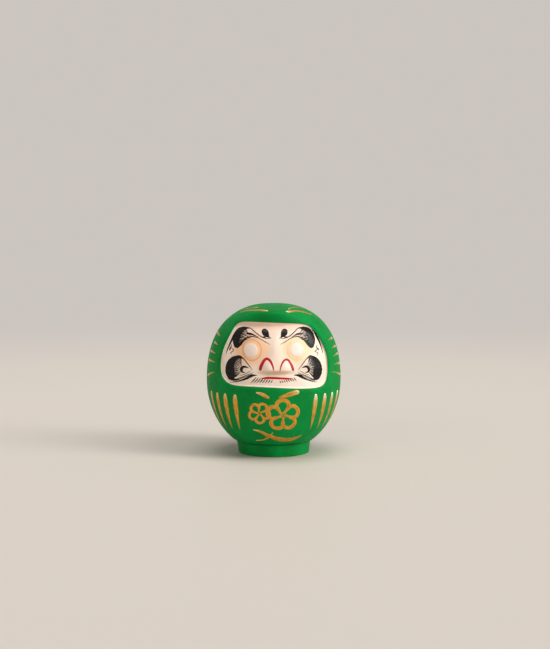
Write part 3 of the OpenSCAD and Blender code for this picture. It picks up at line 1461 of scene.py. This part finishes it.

# %% [markdown]
# The face is shell lime: warm white, very smooth and slightly glossy, with a breath of colour
# blown on. There is orange round the eyes, rose on the nose, a rose band under the hood's brim that
# is partly blown-on rose and partly painted shade of the brim, a grey brown ground under the combs of
# the brows and the beard, and a painted shadow under the nose. Each of them is a soft spot that is
# mixed in: its place, its three radii, its softness, its colour and its amount.

# %% The face's lime and its tints
face_white, face_tree, face_shader = new_finish("face_white", (0.93, 0.79, 0.68), 0.42)
face_spot = place_in_mm(face_tree)
face_drift = speckle(face_tree, face_spot, 9, 3)
face_color = tones(face_tree, face_drift, 0.3, 0.7, (0.91, 0.765, 0.65, 1), (0.94, 0.805, 0.695, 1))
tints_and_shades = [
    ((-18.6, -45, 85.9), (13.8, 40, 11.0), 0.38, (0.9, 0.5, 0.24, 1), 0.78),
    ((16.2, -45, 86.2), (12.5, 40, 10.0), 0.42, (0.9, 0.62, 0.33, 1), 0.72),
    # A rose band under the hood's brim: partly blown-on rose, partly painted shade of the brim.
    ((0.0, -40, 104.5), (34, 40, 6.5), 0.7, (0.87, 0.54, 0.42, 1), 0.55),
    ((-23.6, -40, 97.0), (7, 40, 5), 0.8, (0.66, 0.46, 0.4, 1), 0.4),
    ((22.6, -40, 97.0), (7, 40, 5), 0.8, (0.68, 0.5, 0.44, 1), 0.4),
    ((-27.8, -40, 72.5), (6.5, 40, 7), 0.8, (0.66, 0.46, 0.4, 1), 0.4),
    ((27.0, -40, 72.5), (6.5, 40, 7), 0.8, (0.68, 0.5, 0.44, 1), 0.4),
    # A painted shadow under the nose.
    ((0.5, -45, 69.2), (12.5, 40, 1.9), 0.6, (0.62, 0.42, 0.24, 1), 0.75),
    ((0.5, -45, 78.0), (13, 40, 9), 0.7, (0.88, 0.66, 0.56, 1), 0.25),
]
for spot, size, soft, tint, amount in tints_and_shades:
    share = near_spot(face_tree, face_spot, spot, size, soft)
    face_color = mix(face_tree, combine(face_tree, "MULTIPLY", share, amount), face_color, tint)
face_bumps = bump(face_tree, speckle(face_tree, face_spot, 1.6, 3), 0.03, 0.6)
face_bumps = bump(face_tree, speckle(face_tree, face_spot, 0.4, 3), 0.012, 0.6, face_bumps)
face_gloss = between(face_tree, face_drift, 0.3, 0.7, 0.36, 0.48)
link(face_tree, face_shader, Base_Color=face_color, Roughness=face_gloss, Normal=face_bumps)
print("face tints", len(tints_and_shades))

# %% [markdown]
# Ink, red and gold are laid on with a brush, so all three carry the marks of its bristles: long
# fine streaks along the stroke. The streaks come from the stroke's own UV, stretched along it.
# Gold is powder in glue, so it is a rough metal that shines where the paint is thick and turns
# brown where it is thin, and where the brush was put down full a pale, nearly white highlight is
# painted into its colour. The rings round the eyes are a thinner, browner gold that hardly shines;
# a painted highlight makes the right ring paler and yellower than the left, on the side of the
# window light. The eyes themselves are white paint, and the left one is a little pinker and darker:
# painted shade on the side away from the window, warmed by the fill from the left.


# %% Brushed paints
def bristles(tree, fineness, stretch):
    """Streaks that run along a stroke, from 0 to 1."""
    uv = add(tree, "ShaderNodeUVMap", {}).outputs["UV"]
    return speckle(tree, scaled(tree, uv, (stretch, fineness, 1)), 1.0, 3)


ink_black, ink_tree, ink_shader = new_finish(
    "ink_black",
    (0.005, 0.004, 0.004),
    0.25,
    Specular_IOR_Level=0.22,
)
ink_streaks = bristles(ink_tree, 14, 5)
ink_color = tones(ink_tree, ink_streaks, 0.45, 0.75, (0.002, 0.0015, 0.0015, 1), (0.011, 0.008, 0.007, 1))
ink_gloss = between(ink_tree, ink_streaks, 0.3, 0.7, 0.2, 0.34)
ink_bumps = bump(ink_tree, ink_streaks, 0.02, 0.6)
link(ink_tree, ink_shader, Base_Color=ink_color, Roughness=ink_gloss, Normal=ink_bumps)

paint_red, red_tree, red_shader = new_finish("paint_red", (0.5, 0.003, 0.012), 0.4, Specular_IOR_Level=0.3)
red_streaks = bristles(red_tree, 10, 4)
red_color = tones(red_tree, red_streaks, 0.4, 0.75, (0.42, 0.002, 0.008, 1), (0.6, 0.006, 0.02, 1))
red_bumps = bump(red_tree, red_streaks, 0.02, 0.6)
link(red_tree, red_shader, Base_Color=red_color, Normal=red_bumps)


def gold_paint(name, thin, full, metal):
    """Gold powder paint, with a pale painted highlight where the brush was put down full."""
    material, tree, shader = new_finish(name, full[:3], 0.38, Metallic=metal)
    streaks = bristles(tree, 9, 2.2)
    grains = speckle(tree, place_in_mm(tree), 0.35, 2)
    color = tones(tree, streaks, 0.38, 0.66, thin, full)
    color = mix(tree, between(tree, grains, 0.6, 0.75, 0, 0.5), color, (0.98, 0.72, 0.3, 1))
    # Painted highlight: the colour turns pale and nearly white where the stroke started full.
    loaded_highlight = add(tree, "ShaderNodeAttribute", {}, attribute_name="load_and_highlight").outputs["Fac"]
    color = mix(tree, between(tree, loaded_highlight, 0.15, 1.2, 0, 0.95), color, (1.0, 0.86, 0.5, 1))
    color = mix(tree, between(tree, loaded_highlight, 0.7, 1.25, 0, 0.85), color, (1.0, 0.96, 0.76, 1))
    bumps = bump(tree, grains, 0.012, 0.6, bump(tree, streaks, 0.04, 0.7))
    gloss = between(tree, streaks, 0.3, 0.7, 0.46, 0.3)
    link(tree, shader, Base_Color=color, Roughness=gloss, Normal=bumps)
    return material


paint_gold = gold_paint("paint_gold", (0.5, 0.2, 0.015, 1), (0.9, 0.48, 0.07, 1), 0.8)

ring_gold, ring_tree, ring_shader = new_finish("ring_gold", (0.75, 0.45, 0.22), 0.45, Metallic=0.1)
# Painted highlight: the right ring, on the side of the window light, is painted paler and yellower than the
# left.
ring_highlight_side = add(ring_tree, "ShaderNodeSeparateXYZ", {0: place_in_mm(ring_tree)}).outputs["X"]
ring_color_and_highlight = tones(ring_tree, ring_highlight_side, -6, 6, (0.74, 0.36, 0.17, 1), (0.84, 0.6, 0.3, 1))
ring_streaks = between(ring_tree, bristles(ring_tree, 9, 2.2), 0.4, 0.7, 0, 0.5)
ring_color_and_highlight = mix(ring_tree, ring_streaks, ring_color_and_highlight, (0.93, 0.72, 0.5, 1))
link(ring_tree, ring_shader, Base_Color=ring_color_and_highlight)

eye_white, eye_tree, eye_shader = new_finish("eye_white", (0.92, 0.78, 0.7), 0.5)
eye_spot = place_in_mm(eye_tree)
eye_cloud = speckle(eye_tree, eye_spot, 3, 3)
eye_color = tones(eye_tree, eye_cloud, 0.3, 0.7, (0.88, 0.745, 0.67, 1), (0.93, 0.8, 0.725, 1))
# Painted shade: the left disc is painted pinker and darker, on the side away from the window light.
left_eye_shade = near_spot(eye_tree, eye_spot, (-18.8, -45, 86.0), (12, 40, 12), 0.1)
eye_color = mix(eye_tree, combine(eye_tree, "MULTIPLY", left_eye_shade, 0.55), eye_color, (0.84, 0.68, 0.6, 1))
link(eye_tree, eye_shader, Base_Color=eye_color, Normal=bump(eye_tree, eye_cloud, 0.02, 0.5))
print("paints", [m.name for m in (ink_black, paint_red, paint_gold, ring_gold, eye_white)])

# %% [markdown]
# ## Finishing a piece
# Each mesh is scaled to metres once, gets its material and its smooth shading, and rides on the
# doll's one body. A Solidify modifier gives the skins their wall, inwards, so the painted side
# stays where it was modelled.


# %% From mesh to piece
def finish_piece(name, bm, material, wall=0.0):
    """Makes a mesh in millimetres a piece in metres that rides on the doll's body."""
    bmesh.ops.scale(bm, vec=(MM, MM, MM), verts=bm.verts)
    mesh = bpy.data.meshes.new(name)
    bm.to_mesh(mesh)
    bm.free()
    mesh.shade_smooth()
    mesh.materials.append(material)
    piece = bpy.data.objects.new(name, mesh)
    bpy.context.collection.objects.link(piece)
    if wall:
        thickness = piece.modifiers.new("wall", "SOLIDIFY")
        thickness.thickness = wall * MM
        thickness.offset = -1
    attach(piece, "root")
    print(name, len(mesh.polygons), "faces")
    return piece


# %% The pieces
paper_wall = 1.6
strip_wall = 0.3
paint_film = 0.08
gold_film = 0.1
front_piece = finish_piece("robe_front", front_skin, robe_green, wall=paper_wall)
back_piece = finish_piece("robe_back", back_skin, robe_green, wall=paper_wall)
strip_piece = finish_piece("robe_seam_strip", strip_skin, robe_green, wall=strip_wall)
foot_piece = finish_piece("weighted_foot", foot_body, foot_clay)
coat_piece = finish_piece("face_coat", coat_skin, face_white, wall=coat_t)
finish_piece("face_ink", ink, ink_black, wall=paint_film)
finish_piece("face_red", red, paint_red, wall=paint_film)
finish_piece("eye_whites", whites, eye_white, wall=paint_film)
finish_piece("eye_rings", eye_gold, ring_gold, wall=paint_film)
finish_piece("robe_gold", gold, paint_gold, wall=gold_film)
finish_piece("chest_sprig", sprig, paint_gold, wall=gold_film)

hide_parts("front_shell")
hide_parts("back_shell")
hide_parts("seam_strip")
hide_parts("foot_weight")
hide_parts("face_layer")
print("the pieces stand for", sorted(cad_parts))

# %% [markdown]
# ## Floor, light and camera
# The doll stands on a pale floor that reaches far past the view. Near the doll the floor is a real
# surface that takes its shadow; further out it turns, for the camera and for reflections, into the
# same pale tone as the sky, so no horizon cuts behind the doll.

# %% A pale floor that ends in a pale sky
floor_pale = (0.68, 0.635, 0.59, 1)
sky_level = 0.88
floor_r = 6.0
fade_start = 0.3
fade_end = 1.6
floor_mesh = bmesh.new()
bmesh.ops.create_circle(floor_mesh, cap_ends=True, radius=floor_r, segments=96)
floor_data = bpy.data.meshes.new("floor")
floor_mesh.to_mesh(floor_data)
floor_mesh.free()
floor = bpy.data.objects.new("floor", floor_data)
bpy.context.collection.objects.link(floor)
floor_material, floor_tree, floor_shader = new_finish("floor_pale", floor_pale[:3], 0.6)
floor_data.materials.append(floor_material)


def seen_share(tree):
    """1 for the camera's rays, for reflections and for what is seen through glass."""
    kinds = add(tree, "ShaderNodeLightPath", {}).outputs
    either = combine(tree, "MAXIMUM", kinds["Is Camera Ray"], kinds["Is Glossy Ray"])
    return combine(tree, "MAXIMUM", either, kinds["Is Transmission Ray"])


floor_spot = add(floor_tree, "ShaderNodeTexCoord", {}).outputs["Object"]
far_share = between(floor_tree, length_of(floor_tree, floor_spot), fade_start, fade_end)
glow = add(floor_tree, "ShaderNodeEmission", {"Color": floor_pale, "Strength": sky_level})
shown = combine(floor_tree, "MULTIPLY", far_share, seen_share(floor_tree))
floor_mix = add(floor_tree, "ShaderNodeMixShader", {0: shown, 1: floor_shader.outputs[0], 2: glow.outputs[0]})
link(floor_tree, floor_tree.nodes["Material Output"], Surface=floor_mix.outputs[0])
print("floor radius", floor_r, "metres")

# %% [markdown]
# The light is that of a tall window to the right of the doll, from low down to high up, so three
# soft lights stand above each other there. A broad light comes down from the ceiling, and a weak
# warm fill comes from the left. The sky gives a low even light from all sides, and it shows as the
# same pale tone as the floor.

# %% Sky and lamps
world = bpy.data.worlds.new("sky")
bpy.context.scene.world = world
world.use_nodes = True
sky_tree = world.node_tree
sky_light = sky_tree.nodes["Background"]
sky_light.inputs["Color"].default_value = (1.0, 0.95, 0.88, 1)
sky_light.inputs["Strength"].default_value = 0.24
sky_seen = add(sky_tree, "ShaderNodeBackground", {"Color": floor_pale, "Strength": sky_level})
sky_inputs = {0: seen_share(sky_tree), 1: sky_light.outputs[0], 2: sky_seen.outputs[0]}
sky_mix = add(sky_tree, "ShaderNodeMixShader", sky_inputs)
link(sky_tree, sky_tree.nodes["World Output"], Surface=sky_mix.outputs[0])


def soft_sun(name, azimuth, elevation, softness, strength, color):
    """A wide, soft light from one direction; azimuth turns from the doll's front to its right."""
    data = bpy.data.lights.new(name, "SUN")
    data.angle = math.radians(softness)
    data.energy = strength
    data.color = color
    lamp = bpy.data.objects.new(name, data)
    bpy.context.collection.objects.link(lamp)
    lamp.rotation_euler = (math.radians(90 - elevation), 0, math.radians(azimuth))


soft_sun("ceiling", 15, 83, 40, 1.1, (1.0, 0.99, 0.97))
soft_sun("window_high", 62, 50, 26, 0.82, (1.0, 0.97, 0.93))
soft_sun("window_middle", 66, 31, 20, 0.88, (1.0, 0.97, 0.92))
soft_sun("window_low", 71, 10, 18, 0.86, (1.0, 0.95, 0.88))
soft_sun("warm_fill", -34, 20, 60, 0.5, (1.0, 0.8, 0.62))

# %% [markdown]
# The camera stands about 0.9 metres in front, a little above the doll's crown, and looks down by
# four degrees. It stands slightly to the left, because the doll is turned a little to the right.

# %% Camera and colour view
lens_mm = 62.4
sensor_mm = 36
doll_turn = 1.8
look_down = 3.94
stand_off = Vector((0.001, -0.9, 0.1645))
camera_data = bpy.data.cameras.new("camera")
camera_data.lens = lens_mm
camera_data.sensor_width = sensor_mm
camera = bpy.data.objects.new("camera", camera_data)
bpy.context.collection.objects.link(camera)
turn = math.radians(doll_turn)
camera.location = (
    stand_off.x * math.cos(turn) + stand_off.y * math.sin(turn),
    stand_off.y * math.cos(turn) - stand_off.x * math.sin(turn),
    stand_off.z,
)
camera.rotation_euler = (math.radians(90 - look_down), 0, -turn)
bpy.context.scene.camera = camera
bpy.context.scene.view_settings.view_transform = "Standard"
print("camera at", [round(x, 4) for x in camera.location])
